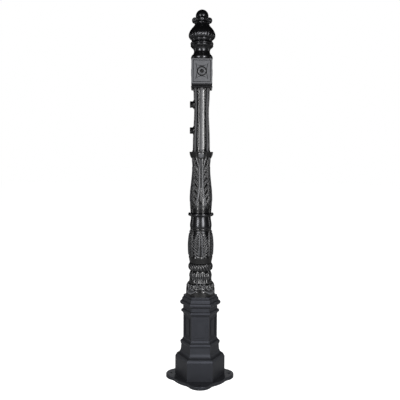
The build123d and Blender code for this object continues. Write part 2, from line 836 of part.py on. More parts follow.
with BuildPart() as cable_bush:
    with BuildSketch(Plane.XY.offset(tube_foot_z - bush_lip)):
        Circle(tube_radius)
    extrude(amount=bush_lip)
    with BuildSketch(Plane.XY.offset(tube_foot_z)):
        Circle(tube_bore - slip)
    extrude(amount=bush_spigot)
    with BuildSketch(Plane.XY.offset(tube_foot_z - bush_lip)):
        Circle(outlet_radius)
    extrude(amount=bush_lip + bush_spigot, mode=Mode.SUBTRACT)

with BuildPart() as finial_stud:
    with BuildSketch(Plane.XY.offset(tube_head_z - plug_high)):
        Circle(stud_radius)
    extrude(amount=stud_top_z - stud_chamfer - tube_head_z + plug_high)
    chamfer(finial_stud.edges().filter_by(GeomType.CIRCLE), stud_chamfer)

with BuildPart() as ring_nuts:
    for height in (
        base_top_plate_z - plate_thick - ring_nut_thick,
        base_top_plate_z,
        finial_z + washer_thick,
    ):
        with BuildSketch(Plane.XY.offset(height)):
            Circle(ring_nut_radius)
            with PolarLocations(ring_nut_radius, 4, start_angle=45):
                Rectangle(nut_slot_deep, nut_slot_wide, mode=Mode.SUBTRACT)
            Circle(tube_radius + slip, mode=Mode.SUBTRACT)
        extrude(amount=ring_nut_thick)

with BuildPart() as top_washer:
    with BuildSketch(Plane.XY.offset(finial_z)):
        Circle(washer_radius)
        Circle(tube_radius + slip, mode=Mode.SUBTRACT)
    extrude(amount=washer_thick)

# ---------------------------------------------------------------- centring rings
# One turned ring in the seats of each joint between castings keeps them true to the tube.
JOINT_HEIGHTS = (collar_z, rope_z, baluster_z, band_z, ring_z, sleeve_z, shaft_z, foot_z, block_z)
with BuildPart() as centring_rings:
    for height in JOINT_HEIGHTS:
        with BuildSketch(Plane.XY.offset(height - seat_deep)):
            Circle(seat_radius - slip)
            Circle(tube_radius + slip, mode=Mode.SUBTRACT)
        extrude(amount=2 * seat_deep)

# ---------------------------------------------------------------- bolted joints
# Hexagon bolts and nuts: bridge plate to base, base to pedestal, pedestal to cap.
bolt_radius = 6
bolt_head_radius = 10.4
bolt_head_thick = 7.5
nut_thick = 10
bridge_bolt_circle_radius = 62
pedestal_bolt_circle_radius = 100
cap_bolt_circle_radius = 70
bolt_proud = 2


def hex_bolts(circle_radius, under_head, end, count=3):
    """Bolts on a circle with their heads below, their ends at this height."""
    with BuildPart() as bolts:
        with BuildSketch(Plane.XY.offset(under_head - bolt_head_thick)):
            with PolarLocations(circle_radius, count):
                RegularPolygon(bolt_head_radius, 6)
        extrude(amount=bolt_head_thick)
        with BuildSketch(Plane.XY.offset(under_head)):
            with PolarLocations(circle_radius, count):
                Circle(bolt_radius)
        extrude(amount=end - under_head)
    return bolts


def hex_nuts(circle_radius, bottom, count=3):
    """Nuts on a circle, seated at this height."""
    with BuildPart() as nuts:
        with BuildSketch(Plane.XY.offset(bottom)):
            with PolarLocations(circle_radius, count):
                RegularPolygon(bolt_head_radius, 6)
                Circle(bolt_radius + slip, mode=Mode.SUBTRACT)
        extrude(amount=nut_thick)
    return nuts


def bolt_holes(circle_radius, bottom, top, count=3):
    """Clearance holes on a circle between two heights."""
    with BuildPart() as holes:
        with BuildSketch(Plane.XY.offset(bottom)):
            with PolarLocations(circle_radius, count):
                Circle(bolt_radius + slip)
        extrude(amount=top - bottom)
    return holes.part


bridge_z = base_top_plate_z - plate_thick
with BuildPart() as bridge_plate:
    with BuildSketch(Plane.XY.offset(bridge_z)):
        Circle(bridge_plate_radius)
        Circle(tube_radius + slip, mode=Mode.SUBTRACT)
    extrude(amount=plate_thick)
    add(bolt_holes(bridge_bolt_circle_radius, bridge_z, base_top_plate_z), mode=Mode.SUBTRACT)

cap_ledge_z = cap_z + ledge_thick
bridge_bolts = hex_bolts(bridge_bolt_circle_radius, bridge_z, pedestal_z)
pedestal_bolts = hex_bolts(pedestal_bolt_circle_radius, base_top_plate_z, ledge_z + nut_thick + bolt_proud)
pedestal_nuts = hex_nuts(pedestal_bolt_circle_radius, ledge_z)
cap_bolts = hex_bolts(cap_bolt_circle_radius, cap_z - head_plate, cap_ledge_z + nut_thick + bolt_proud)
cap_nuts = hex_nuts(cap_bolt_circle_radius, cap_ledge_z)
with base_casting:
    add(bolt_holes(bridge_bolt_circle_radius, base_top_plate_z, pedestal_z), mode=Mode.SUBTRACT)
    add(bolt_holes(pedestal_bolt_circle_radius, base_top_plate_z, pedestal_z), mode=Mode.SUBTRACT)
with pedestal_casting:
    add(bolt_holes(pedestal_bolt_circle_radius, pedestal_z, ledge_z), mode=Mode.SUBTRACT)
    add(bolt_holes(cap_bolt_circle_radius, cap_z - head_plate, cap_z), mode=Mode.SUBTRACT)
with pedestal_cap:
    add(bolt_holes(cap_bolt_circle_radius, cap_z, cap_ledge_z), mode=Mode.SUBTRACT)

# ---------------------------------------------------------------- bracket boss inserts
# Tapped brass bushes pressed into the two bosses.
with BuildPart() as boss_inserts:
    with BuildSketch(*[face_plane(180, boss_reach, height) for height in BOSS_HEIGHTS]):
        Circle(insert_radius)
        Circle(insert_bore, mode=Mode.SUBTRACT)
    extrude(amount=-insert_long)

# ---------------------------------------------------------------- rosette screws
# A round-headed screw in the eye of each rosette.
rosette_screw_proud = 1.5
rosette_shank_long = wall - rosette_recess + rosette_thread_radius
rosette_head_round = 1.4
with BuildPart() as rosette_screws:
    with BuildSketch(*[plane.offset(-rosette_recess) for plane in BLOCK_FACES]):
        Circle(rosette_screw_radius)
    extrude(amount=rosette_recess + rosette_screw_proud)
    fillet(rosette_screws.edges().filter_by(GeomType.CIRCLE), rosette_head_round)
    with BuildSketch(*[plane.offset(-rosette_recess) for plane in BLOCK_FACES]):
        Circle(rosette_thread_radius)
    extrude(amount=-rosette_shank_long)

# ---------------------------------------------------------------- service door
# Cast door with a raised field, closing on a rubber gasket and hung on two straps.
door_seat_y = pedestal_flat - rebate_deep
door_back_y = door_seat_y + gasket_thick + door_seat_gap
door_front_y = pedestal_flat - panel_step
door_half_wide = door_wide / 2 - door_gap
strap_long = 20
strap_drop = 1.5
strap_root = 1
field_taper = 20
strap_start_x = door_half_wide - strap_long
strap_top_y = hinge_y - strap_drop
strap_root_y = door_front_y - strap_root
strap_under_y = pedestal_flat + door_gap
lock_x = lock_inset - door_wide / 2
with BuildPart() as door_gasket:
    with BuildSketch(face_plane(90, door_seat_y, door_z)):
        Rectangle(door_wide - door_gap, door_tall - door_gap)
        Rectangle(door_wide - 2 * lip_wide, door_tall - 2 * lip_wide, mode=Mode.SUBTRACT)
    extrude(amount=gasket_thick)

with BuildPart() as service_door:
    with BuildSketch(face_plane(90, door_back_y, door_z)):
        Rectangle(2 * door_half_wide, door_tall - 2 * door_gap)
    extrude(amount=door_front_y - door_back_y)
    with BuildSketch(face_plane(90, door_front_y, door_z)):
        Rectangle(inner_panel_wide, inner_panel_tall)
    extrude(amount=panel_step, taper=field_taper)
    for middle in HINGE_HEIGHTS:
        with BuildSketch(Plane.XY.offset(middle - knuckle_tall / 2)):
            with Locations(((strap_start_x + door_half_wide) / 2, (strap_root_y + strap_top_y) / 2)):
                Rectangle(door_half_wide - strap_start_x, strap_top_y - strap_root_y)
            with Locations(((door_half_wide + hinge_x) / 2, (strap_under_y + strap_top_y) / 2)):
                Rectangle(hinge_x - door_half_wide, strap_top_y - strap_under_y)
            with Locations((hinge_x, hinge_y)):
                Circle(knuckle_radius)
        extrude(amount=knuckle_tall)
        with BuildSketch(Plane.XY.offset(middle - knuckle_tall / 2)):
            with Locations((hinge_x, hinge_y)):
                Circle(hinge_pin_radius + slip)
        extrude(amount=knuckle_tall, mode=Mode.SUBTRACT)
    with BuildSketch(face_plane(90, door_back_y, door_z)):
        with Locations((-lock_x, 0)):
            Circle(lock_bush_radius + slip)
    extrude(amount=rebate_deep, mode=Mode.SUBTRACT)

pin_head_in = 0.5
pin_head_thick = 2
with BuildPart() as hinge_pins:
    for middle in HINGE_HEIGHTS:
        with BuildSketch(Plane.XY.offset(middle - knuckle_tall / 2 - knuckle_gap - knuckle_lug)):
            with Locations((hinge_x, hinge_y)):
                Circle(hinge_pin_radius)
        extrude(amount=knuckle_tall + 2 * (knuckle_gap + knuckle_lug))
        with BuildSketch(Plane.XY.offset(middle + knuckle_tall / 2 + knuckle_gap + knuckle_lug)):
            with Locations((hinge_x, hinge_y)):
                Circle(knuckle_radius - pin_head_in)
        extrude(amount=pin_head_thick)

# ---------------------------------------------------------------- quarter-turn lock
# Bush and back nut stay in the door; the spindle, cam and cam screw turn together. The cam
# hangs down when the lock is open and swings a quarter turn behind the doorway's lip.
bush_flange = 2
bush_flange_radius = 7.8
bush_tail = 6
lock_nut_radius = 8.5
lock_nut_thick = 4
cam_top_y = door_seat_y - lip_thick - cam_lip_gap
cam_back_y = cam_top_y - cam_thick
key_head_thick = 3
key_recess = 2
cam_screw_radius = 2
cam_screw_head = 2.5
cam_screw_in = 0.5
cam_screw_long = 7
cam_screw_hole = 8
key_head_in = 1.5
key_recess_in = 3.5
key_foot_y = door_front_y + bush_flange + door_seat_gap
cam_slot_long = cam_reach - cam_wide / 2
lock_spot = (-lock_x, 0)
with BuildPart() as lock_bush:
    with BuildSketch(face_plane(90, door_back_y - bush_tail, door_z)):
        with Locations(lock_spot):
            Circle(lock_bush_radius)
    extrude(amount=door_front_y - door_back_y + bush_tail)
    with BuildSketch(face_plane(90, door_front_y, door_z)):
        with Locations(lock_spot):
            Circle(bush_flange_radius)
    extrude(amount=bush_flange)
    with BuildSketch(face_plane(90, door_back_y - bush_tail, door_z)):
        with Locations(lock_spot):
            Circle(lock_spindle_radius + slip)
    extrude(amount=bush_tail + rebate_deep, mode=Mode.SUBTRACT)

with BuildPart() as lock_nut:
    with BuildSketch(face_plane(90, door_back_y - lock_nut_thick, door_z)):
        with Locations(lock_spot):
            RegularPolygon(lock_nut_radius, 6)
            Circle(lock_bush_radius + slip, mode=Mode.SUBTRACT)
    extrude(amount=lock_nut_thick)

with BuildPart() as lock_spindle:
    with BuildSketch(face_plane(90, cam_back_y, door_z)):
        with Locations(lock_spot):
            Circle(lock_spindle_radius)
    extrude(amount=key_foot_y - cam_back_y)
    with BuildSketch(face_plane(90, key_foot_y, door_z)):
        with Locations(lock_spot):
            Circle(lock_bush_radius)
    extrude(amount=key_head_thick)
    with BuildSketch(face_plane(90, key_foot_y + key_head_thick, door_z)):
        with Locations(lock_spot):
            RegularPolygon(lock_bush_radius - key_head_in, 3)
            RegularPolygon(lock_bush_radius - key_recess_in, 3, mode=Mode.SUBTRACT)
    extrude(amount=-key_recess, mode=Mode.SUBTRACT)
    with BuildSketch(face_plane(90, cam_back_y, door_z)):
        with Locations(lock_spot):
            Circle(cam_screw_radius + slip)
    extrude(amount=cam_screw_hole, mode=Mode.SUBTRACT)

with BuildPart() as lock_cam:
    with BuildSketch(face_plane(90, cam_back_y, door_z)):
        with Locations((-lock_x, -cam_slot_long / 2)):
            SlotCenterToCenter(cam_slot_long, cam_wide, rotation=90)
        with Locations(lock_spot):
            Circle(lock_spindle_radius + slip, mode=Mode.SUBTRACT)
    extrude(amount=cam_thick)

with BuildPart() as cam_screw:
    with BuildSketch(face_plane(90, cam_back_y, door_z)):
        with Locations(lock_spot):
            Circle(lock_bush_radius - cam_screw_in)
    extrude(amount=-cam_screw_head)
    with BuildSketch(face_plane(90, cam_back_y, door_z)):
        with Locations(lock_spot):
            Circle(cam_screw_radius)
    extrude(amount=cam_screw_long)

# ---------------------------------------------------------------- supply board
# Insulating board clamped to the tube behind the door, with a fused cut-out, a terminal
# block and an earth stud for the supply that feeds the head of the post.
clamp_ring_radius = tube_radius + 6
board_corner = 4
clamp_hole_deep = 6
board_screw_in = 5.5
fuse_cap_radius = 11
fuse_cap_inner = 8.5
fuse_cap_deep = 2
terminal_hole_radius = 3
terminal_hole_deep = 6
earth_nut_thick = 4
earth_stud_long = 8
clamp_pad_half_wide = 14
clamp_high = 14
board_y = tube_radius + 8
board_thick = 8
board_half_wide = 32
board_half_high = 62
clamp_half_pitch = 50
board_screw_radius = 3
screw_head_radius = 5
screw_head_thick = 3
cutout_deep = 18
cutout_half_wide = 20
cutout_half_high = 30
cutout_rise = 10
terminal_deep = 12
terminal_half_wide = 24
terminal_half_high = 9
terminal_drop = 34
earth_x = 24
earth_drop = 52
board_face_y = board_y + board_thick
CLAMP_HEIGHTS = (door_z - clamp_half_pitch, door_z + clamp_half_pitch)
with BuildPart() as board_clamps:
    for middle in CLAMP_HEIGHTS:
        with BuildSketch(Plane.XY.offset(middle - clamp_high / 2)):
            Circle(clamp_ring_radius)
            with Locations((0, board_y / 2)):
                Rectangle(2 * clamp_pad_half_wide, board_y)
            Circle(tube_radius + slip, mode=Mode.SUBTRACT)
        extrude(amount=clamp_high)
    with BuildSketch(*[face_plane(90, board_y, middle) for middle in CLAMP_HEIGHTS]):
        Circle(board_screw_radius + slip)
    extrude(amount=-clamp_hole_deep, mode=Mode.SUBTRACT)

with BuildPart() as supply_board:
    with BuildSketch(face_plane(90, board_y, door_z)):
        RectangleRounded(2 * board_half_wide, 2 * board_half_high, board_corner)
        with Locations((0, -clamp_half_pitch), (0, clamp_half_pitch)):
            Circle(board_screw_radius + slip, mode=Mode.SUBTRACT)
    extrude(amount=board_thick)

with BuildPart() as board_screws:
    with BuildSketch(*[face_plane(90, board_y - board_screw_in, middle) for middle in CLAMP_HEIGHTS]):
        Circle(board_screw_radius)
    extrude(amount=board_thick + board_screw_in)
    with BuildSketch(*[face_plane(90, board_face_y, middle) for middle in CLAMP_HEIGHTS]):
        Circle(screw_head_radius)
    extrude(amount=screw_head_thick)

with BuildPart() as fused_cutout:
    with BuildSketch(face_plane(90, board_face_y, door_z + cutout_rise)):
        RectangleRounded(2 * cutout_half_wide, 2 * cutout_half_high, board_corner)
    extrude(amount=cutout_deep)
    fillet(fused_cutout.faces().sort_by(Axis.Y)[-1].edges(), fuse_cap_deep)
    with BuildSketch(face_plane(90, board_face_y + cutout_deep, door_z + cutout_rise)):
        Circle(fuse_cap_radius)
        Circle(fuse_cap_inner, mode=Mode.SUBTRACT)
    extrude(amount=-fuse_cap_deep, mode=Mode.SUBTRACT)

with BuildPart() as terminal_block:
    with BuildSketch(face_plane(90, board_face_y, door_z - terminal_drop)):
        Rectangle(2 * terminal_half_wide, 2 * terminal_half_high)
    extrude(amount=terminal_deep)
    with BuildSketch(face_plane(90, board_face_y + terminal_deep, door_z - terminal_drop)):
        with GridLocations(terminal_half_wide / 2, 0, 4, 1):
            Circle(terminal_hole_radius)
    extrude(amount=-terminal_hole_deep, mode=Mode.SUBTRACT)

with BuildPart() as earth_stud:
    with BuildSketch(face_plane(90, board_face_y, door_z - earth_drop)):
        with Locations((-earth_x, 0)):
            RegularPolygon(screw_head_radius, 6)
    extrude(amount=earth_nut_thick)
    with BuildSketch(face_plane(90, board_face_y + earth_nut_thick, door_z - earth_drop)):
        with Locations((-earth_x, 0)):
            Circle(board_screw_radius)
    extrude(amount=earth_stud_long)

# ---------------------------------------------------------------- files
PIECES = {
    "base_casting": base_casting,
    "pedestal_casting": pedestal_casting,
    "pedestal_cap": pedestal_cap,
    "neck_collar": neck_collar,
    "rope_ring": rope_ring,
    "leaf_baluster": leaf_baluster,
    "plain_band": plain_band,
    "collar_ring": collar_ring,
    "leaf_sleeve": leaf_sleeve,
    "fluted_shaft": fluted_shaft,
    "capital_foot": capital_foot,
    "capital_block": capital_block,
    "finial_base": finial_base,
    "finial_bulb": finial_bulb,
    "finial_crown": finial_crown,
    "core_tube": core_tube,
    "tube_plug": tube_plug,
    "cable_bush": cable_bush,
    "finial_stud": finial_stud,
    "ring_nuts": ring_nuts,
    "top_washer": top_washer,
    "centring_rings": centring_rings,
    "bridge_plate": bridge_plate,
    "bridge_bolts": bridge_bolts,
    "pedestal_bolts": pedestal_bolts,
    "pedestal_nuts": pedestal_nuts,
    "cap_bolts": cap_bolts,
    "cap_nuts": cap_nuts,
    "boss_inserts": boss_inserts,
    "rosette_screws": rosette_screws,
    "door_gasket": door_gasket,
    "service_door": service_door,
    "hinge_pins": hinge_pins,
    "lock_bush": lock_bush,
    "lock_nut": lock_nut,
    "lock_spindle": lock_spindle,
    "lock_cam": lock_cam,
    "cam_screw": cam_screw,
    "board_clamps": board_clamps,
    "supply_board": supply_board,
    "board_screws": board_screws,
    "fused_cutout": fused_cutout,
    "terminal_block": terminal_block,
    "earth_stud": earth_stud,
}
for label, piece in PIECES.items():
    export(piece, label)
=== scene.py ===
"""Looks of the ornamental street post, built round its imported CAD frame. Metres, +Z up."""
import math

import bmesh
import bpy
import numpy as np
from mathutils import Matrix, Vector


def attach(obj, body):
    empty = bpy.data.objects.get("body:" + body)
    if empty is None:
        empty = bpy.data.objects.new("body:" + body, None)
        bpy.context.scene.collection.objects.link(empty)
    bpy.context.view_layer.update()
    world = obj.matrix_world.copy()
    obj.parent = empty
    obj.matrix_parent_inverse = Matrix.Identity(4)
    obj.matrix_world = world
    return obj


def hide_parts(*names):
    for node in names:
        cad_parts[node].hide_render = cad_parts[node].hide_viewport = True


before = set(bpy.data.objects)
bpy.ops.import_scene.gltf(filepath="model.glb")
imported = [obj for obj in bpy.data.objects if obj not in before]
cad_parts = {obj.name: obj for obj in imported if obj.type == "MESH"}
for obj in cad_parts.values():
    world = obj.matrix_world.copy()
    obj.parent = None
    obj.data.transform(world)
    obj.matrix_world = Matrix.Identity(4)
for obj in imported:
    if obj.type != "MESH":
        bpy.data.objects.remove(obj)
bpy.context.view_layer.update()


# ---- Camera and studio
# A front view from tripod height, tipped down a little, and a white surround that gives the post
# hardly any light. The light comes from a soft key to the right of the camera, a narrower, weaker
# fill to its left, and three faint ones at the sides and behind.
eye = Vector((-0.006, -3.132, 1.332))
look_down = math.radians(3.66)
roll = math.radians(0.37)
camera_data = bpy.data.cameras.new("camera")
camera_data.lens = 45
camera_data.sensor_width = 36
camera_data.clip_end = 200
camera = bpy.data.objects.new("camera", camera_data)
bpy.context.collection.objects.link(camera)
camera.matrix_world = (
    Matrix.Translation(eye)
    @ Matrix.Rotation(math.radians(90) - look_down, 4, "X")
    @ Matrix.Rotation(roll, 4, "Z")
)
bpy.context.scene.camera = camera
bpy.context.scene.view_settings.view_transform = "Standard"
lit_height = 1.15


def softbox(name, azimuth, distance, height, wide, tall, power):
    """A soft light at this bearing from the front, turned to the middle of the post."""
    data = bpy.data.lights.new(name, "AREA")
    data.shape = "RECTANGLE"
    data.size = wide
    data.size_y = tall
    data.energy = power
    lamp = bpy.data.objects.new(name, data)
    bpy.context.collection.objects.link(lamp)
    bearing = math.radians(azimuth)
    lamp.location = (distance * math.sin(bearing), -distance * math.cos(bearing), height)
    aim = Vector((0, 0, lit_height)) - lamp.location
    lamp.rotation_euler = aim.to_track_quat("-Z", "Y").to_euler()


# Name, degrees to the right of the front, metres away and up, metres wide and tall, watts.
lights = (
    ("key_light", 25, 3.4, 1.75, 0.5, 2.6, 135),
    ("fill_light", -33, 3.4, 1.75, 0.38, 2.6, 95),
    ("left_rim", -104, 3.0, 1.5, 0.3, 2.2, 9),
    ("right_rim", 106, 3.0, 1.5, 0.3, 2.2, 9),
    ("back_light", 180, 3.4, 2.3, 0.8, 1.6, 12),
)
for light in lights:
    softbox(*light)

world = bpy.data.worlds.new("studio")
bpy.context.scene.world = world
world.use_nodes = True
sky = world.node_tree
background = sky.nodes["Background"]
background.inputs["Color"].default_value = (1, 1, 1, 1)
seen_directly = sky.nodes.new("ShaderNodeLightPath")
brightness = sky.nodes.new("ShaderNodeMapRange")
surround = 0.007
brightness.inputs["To Min"].default_value = surround
brightness.inputs["To Max"].default_value = 1.0
sky.links.new(seen_directly.outputs["Is Camera Ray"], brightness.inputs["Value"])
sky.links.new(brightness.outputs["Result"], background.inputs["Strength"])


# ---- Shader sums
# One class stands for a socket in a material being made: operators on it add Math nodes, and
# node() adds any other shader node, so each finish below reads as a few lines of arithmetic.
class Wire:
    def __init__(self, tree, socket):
        self.tree = tree
        self.socket = socket

    def sum_of(self, operation, *values):
        """A Math node fed with these values."""
        made = self.tree.nodes.new("ShaderNodeMath")
        made.operation = operation
        for slot, value in zip(made.inputs, values):
            feed(self.tree, slot, value)
        return Wire(self.tree, made.outputs[0])

    def sums(self, operation, *others):
        """A Math node fed with this wire first."""
        return self.sum_of(operation, self, *others)

    def __add__(self, other):
        return self.sums("ADD", other)

    def __sub__(self, other):
        return self.sums("SUBTRACT", other)

    def __rsub__(self, other):
        return self.sum_of("SUBTRACT", other, self)

    def __mul__(self, other):
        return self.sums("MULTIPLY", other)

    def __pow__(self, other):
        return self.sums("POWER", other)

    __radd__ = __add__
    __rmul__ = __mul__


def feed(tree, slot, value):
    """Links a wire to an input, or sets the input to a plain value."""
    if isinstance(value, Wire):
        tree.links.new(value.socket, slot)
    else:
        slot.default_value = value


class Finish:
    """A material being made for one of the finishes of the post."""

    def __init__(self, name):
        self.material = bpy.data.materials.new(name)
        self.material.use_nodes = True
        self.tree = self.material.node_tree
        self.tree.nodes.clear()
        self.place = self.node("TexCoord", output="Object")

    def node(self, kind, settings=None, inputs=None, output=0):
        made = self.tree.nodes.new("ShaderNode" + kind)
        for key, value in (settings or {}).items():
            if key == "stops":
                while len(made.color_ramp.elements) < len(value):
                    made.color_ramp.elements.new(0.5)
                for element, (position, colour) in zip(made.color_ramp.elements, value):
                    element.position = position
                    element.color = (*colour, 1)
            else:
                setattr(made, key, value)
        for key, value in (inputs or {}).items():
            feed(self.tree, made.inputs[key], value)
        return Wire(self.tree, made.outputs[output])

    def noise(self, scale, detail=3.0, roughness=0.55):
        inputs = {"Vector": self.place, "Scale": scale, "Detail": detail, "Roughness": roughness}
        return self.node("TexNoise", {}, inputs, "Fac")

    def mix(self, share, first, second):
        inputs = {"Factor": share, 6: first, 7: second}
        return self.node("Mix", {"data_type": "RGBA"}, inputs, 2)

    def parts(self, vector):
        """The three parts of a vector as wires."""
        made = self.tree.nodes.new("ShaderNodeSeparateXYZ")
        feed(self.tree, made.inputs[0], vector)
        return [Wire(self.tree, socket) for socket in made.outputs]

    def span(self, value, low, high):
        """Share, from 0 to 1, of the way a value is from low to high."""
        inputs = {"Value": value, "From Min": low, "From Max": high}
        return self.node("MapRange", {"interpolation_type": "SMOOTHSTEP"}, inputs, "Result")

    def bump(self, height, distance, strength=1.0, under=None):
        inputs = {"Height": height, "Distance": distance, "Strength": strength}
        if under:
            inputs["Normal"] = under
        return self.node("Bump", {}, inputs, "Normal")

    def surface(self, **inputs):
        named = {key.replace("_", " "): value for key, value in inputs.items()}
        shader = self.node("BsdfPrincipled", {}, named, "BSDF")
        end = self.tree.nodes.new("ShaderNodeOutputMaterial")
        feed(self.tree, end.inputs["Surface"], shader)
        return self.material


# ---- Enamelled iron
# Sand-cast iron under black enamel: a film of uneven tone and gloss, over the grain of the mould
# and the slow unevenness of the casting. Some castings take more gloss.
def enamel_coat(finish, tone, gloss, grain):
    """Colour, roughness and surface of one coat of blue-black enamel."""
    sand = finish.noise(900, 4)
    peel = finish.noise(210, 2)
    swell = finish.noise(22, 2)
    dust = finish.noise(60, 6, 0.7)
    film = swell * 0.5 + peel * 0.2 + dust * 0.3
    colour = finish.mix(
        film,
        (tone * 0.6, tone * 0.62, tone * 0.7, 1),
        (tone * 1.34, tone * 1.38, tone * 1.55, 1),
    )
    grained = finish.bump(sand, 0.0001 * grain, 0.4)
    uneven = finish.bump(peel, 0.0002, 0.25, grained)
    return colour, gloss - 0.06 + film * 0.14 + sand * 0.04, uneven


def enamelled_iron(name, tone, gloss, grain, sheen=(0.94, 0.95, 1.0)):
    finish = Finish(name)
    colour, roughness, surface = enamel_coat(finish, tone, gloss, grain)
    return finish.surface(
        Base_Color=colour, Roughness=roughness, Normal=surface, IOR=1.5, Specular_Tint=(*sheen, 1)
    )


def dress(material, *nodes):
    """Gives these CAD pieces a finish."""
    for node in nodes:
        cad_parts[node].data.materials[0] = material


satin_iron = enamelled_iron("satin_enamel", 0.0115, 0.42, 1.0, (0.8, 0.84, 1.0))
dress(satin_iron, "base_casting", "pedestal_casting", "pedestal_cap", "service_door")
gloss_iron = enamelled_iron("gloss_enamel", 0.002, 0.25, 0.4)
dress(
    gloss_iron, "plain_band", "collar_ring", "finial_base", "finial_bulb", "finial_crown",
    "capital_foot",
)

# ---- Carved enamel
# The collar, rope ring, baluster and sleeve: the same black enamel, coloured a lighter grey on
# whatever stands proud of the carving, as the "proud" value of each point says, which is rubbed
# wear together with a painted highlight, and left black in the hollows as painted shade.
carved = Finish("carved_enamel")
coat_colour, coat_roughness, coat_surface = enamel_coat(carved, 0.002, 0.22, 0.35)
proud = carved.node("Attribute", {"attribute_name": "proud"}, {}, "Fac")
# Painted highlight and wear: raised carving is coloured lighter grey; the hollows keep the black
# coat as painted shade.
rubbed_and_painted_highlight = proud * (0.5 + carved.noise(40, 5, 0.6) * 0.8)
carved_iron = carved.surface(
    Base_Color=carved.mix(rubbed_and_painted_highlight, coat_colour, (0.078, 0.08, 0.086, 1)),
    Roughness=coat_roughness + rubbed_and_painted_highlight * 0.13, Normal=coat_surface, IOR=1.5,
)
dress(carved_iron, "neck_collar", "rope_ring", "leaf_baluster", "leaf_sleeve")

# ---- Fluted shaft
# Eight narrow flutes run up the shaft. The lands between them are coloured a greyer sheen,
# rubbed wear together with a painted highlight, and the flutes stay black as painted shade.
shaft = Finish("shaft_enamel")
coat_colour, coat_roughness, coat_surface = enamel_coat(shaft, 0.002, 0.19, 0.4)
east, north, _ = shaft.parts(shaft.place)
flutes = 8.0
bearing = east.sums("ARCTAN2", north)
# Painted highlight and wear: the lands between the flutes are coloured greyer than the flutes.
land = shaft.span((bearing * flutes).sums("COSINE"), 0.1, 0.9)
rubbed_and_painted_highlight = land * (0.55 + shaft.noise(26, 5, 0.6) * 0.9)
shaft_iron = shaft.surface(
    Base_Color=shaft.mix(rubbed_and_painted_highlight, coat_colour, (0.062, 0.062, 0.066, 1)),
    Roughness=coat_roughness + rubbed_and_painted_highlight * 0.15, Normal=coat_surface, IOR=1.5,
)
dress(shaft_iron, "fluted_shaft")

# ---- Capital block
# A hollow cast box with a sunk border and a four-petalled rosette on each face. Its faces are
# coloured a dull grey, rubbed wear together with a painted sheen, and the grooves, the ring round
# each rosette and its eye are darkened as painted shade.
worn_and_shaded = Finish("rubbed_and_shaded_enamel")
coat_colour, coat_roughness, coat_surface = enamel_coat(worn_and_shaded, 0.005, 0.22, 1.2)
east, north, height = worn_and_shaded.parts(worn_and_shaded.place)
east = east.sums("ABSOLUTE")
north = north.sums("ABSOLUTE")
block_half, eye_height = 0.064, 1.9185
depth_in = block_half - east.sums("MAXIMUM", north)
sideways = east.sums("MINIMUM", north)
from_eye = (sideways**2.0 + (height - eye_height) ** 2.0) ** 0.5
# Painted shade: the ring round each rosette and its eye are darkened.
ring_share = worn_and_shaded.span(from_eye, 0.0195, 0.0215) - worn_and_shaded.span(from_eye, 0.027, 0.029)
eye_share = 1 - worn_and_shaded.span(from_eye, 0.0085, 0.0105)
ring_and_eye_shade = (1 - ring_share * 0.85) * (1 - eye_share * 0.85)
# Painted shade in the grooves, by depth in from the face; the faces take a lighter grey, wear and
# painted sheen.
unshaded_face_share = (1 - worn_and_shaded.span(depth_in, 0.0006, 0.0022)) * ring_and_eye_shade
rub = worn_and_shaded.noise(34, 6, 0.65)
face_colour = worn_and_shaded.mix(worn_and_shaded.span(rub, 0.3, 0.7), (0.048, 0.05, 0.056, 1), (0.066, 0.068, 0.074, 1))
worn_and_shaded_colour = worn_and_shaded.mix(unshaded_face_share, coat_colour, face_colour)
worn_roughness = coat_roughness + unshaded_face_share * 0.36
capital_iron = worn_and_shaded.surface(
    Base_Color=worn_and_shaded_colour, Roughness=worn_roughness, Normal=coat_surface, IOR=1.5
)
dress(capital_iron, "capital_block")


# ---- Leaf sleeve
# The tall waisted casting between the ring and the shaft: four water leaves rise from a plain
# foot, each with a twin-ridged stem, seven pointed lobes a side and a tip rolled out under the
# flared rim. One piece of sand-cast iron from a carved pattern.
def turned_blank(name, bottom, top, radius, bore, around, rings):
    """A bored blank on the axis of the post, its side cut into fine rings ready for carving. Its
    heights, radius and bore are in mm."""
    bottom, top, radius, bore = (size / 1000 for size in (bottom, top, radius, bore))
    bpy.ops.object.select_all(action="DESELECT")
    bpy.ops.mesh.primitive_cylinder_add(
        vertices=around, radius=radius, depth=top - bottom, location=(0, 0, (bottom + top) / 2)
    )
    blank = bpy.context.object
    blank.name = name
    bpy.ops.object.transform_apply(location=True, rotation=False, scale=False)
    bpy.ops.object.mode_set(mode="EDIT")
    bpy.ops.mesh.select_mode(type="FACE")
    bpy.ops.mesh.select_all(action="DESELECT")
    work = bmesh.from_edit_mesh(blank.data)
    for face in work.faces:
        face.select_set(abs(face.normal.z) > 0.5)
    bmesh.update_edit_mesh(blank.data)
    bpy.ops.mesh.inset(thickness=radius - bore, depth=0)
    bpy.ops.mesh.bridge_edge_loops()
    bpy.ops.mesh.select_mode(type="EDGE")
    bpy.ops.mesh.select_all(action="DESELECT")
    work = bmesh.from_edit_mesh(blank.data)
    for edge in work.edges:
        low, high = (vertex.co for vertex in edge.verts)
        upright = abs(low.z - high.z) > (top - bottom) / 2
        edge.select_set(upright and low.xy.length > (radius + bore) / 2)
    bmesh.update_edit_mesh(blank.data)
    bpy.ops.mesh.subdivide(number_cuts=rings)
    bpy.ops.object.mode_set(mode="OBJECT")
    return blank


def points_of(piece):
    """The points of a piece as rows of x, y and z in metres."""
    points = np.empty(len(piece.data.vertices) * 3)
    piece.data.vertices.foreach_get("co", points)
    return points.reshape(-1, 3)


def move_points(piece, points):
    piece.data.vertices.foreach_set("co", points.ravel())
    piece.data.update()


column_bore = 34
full_relief = 0.003


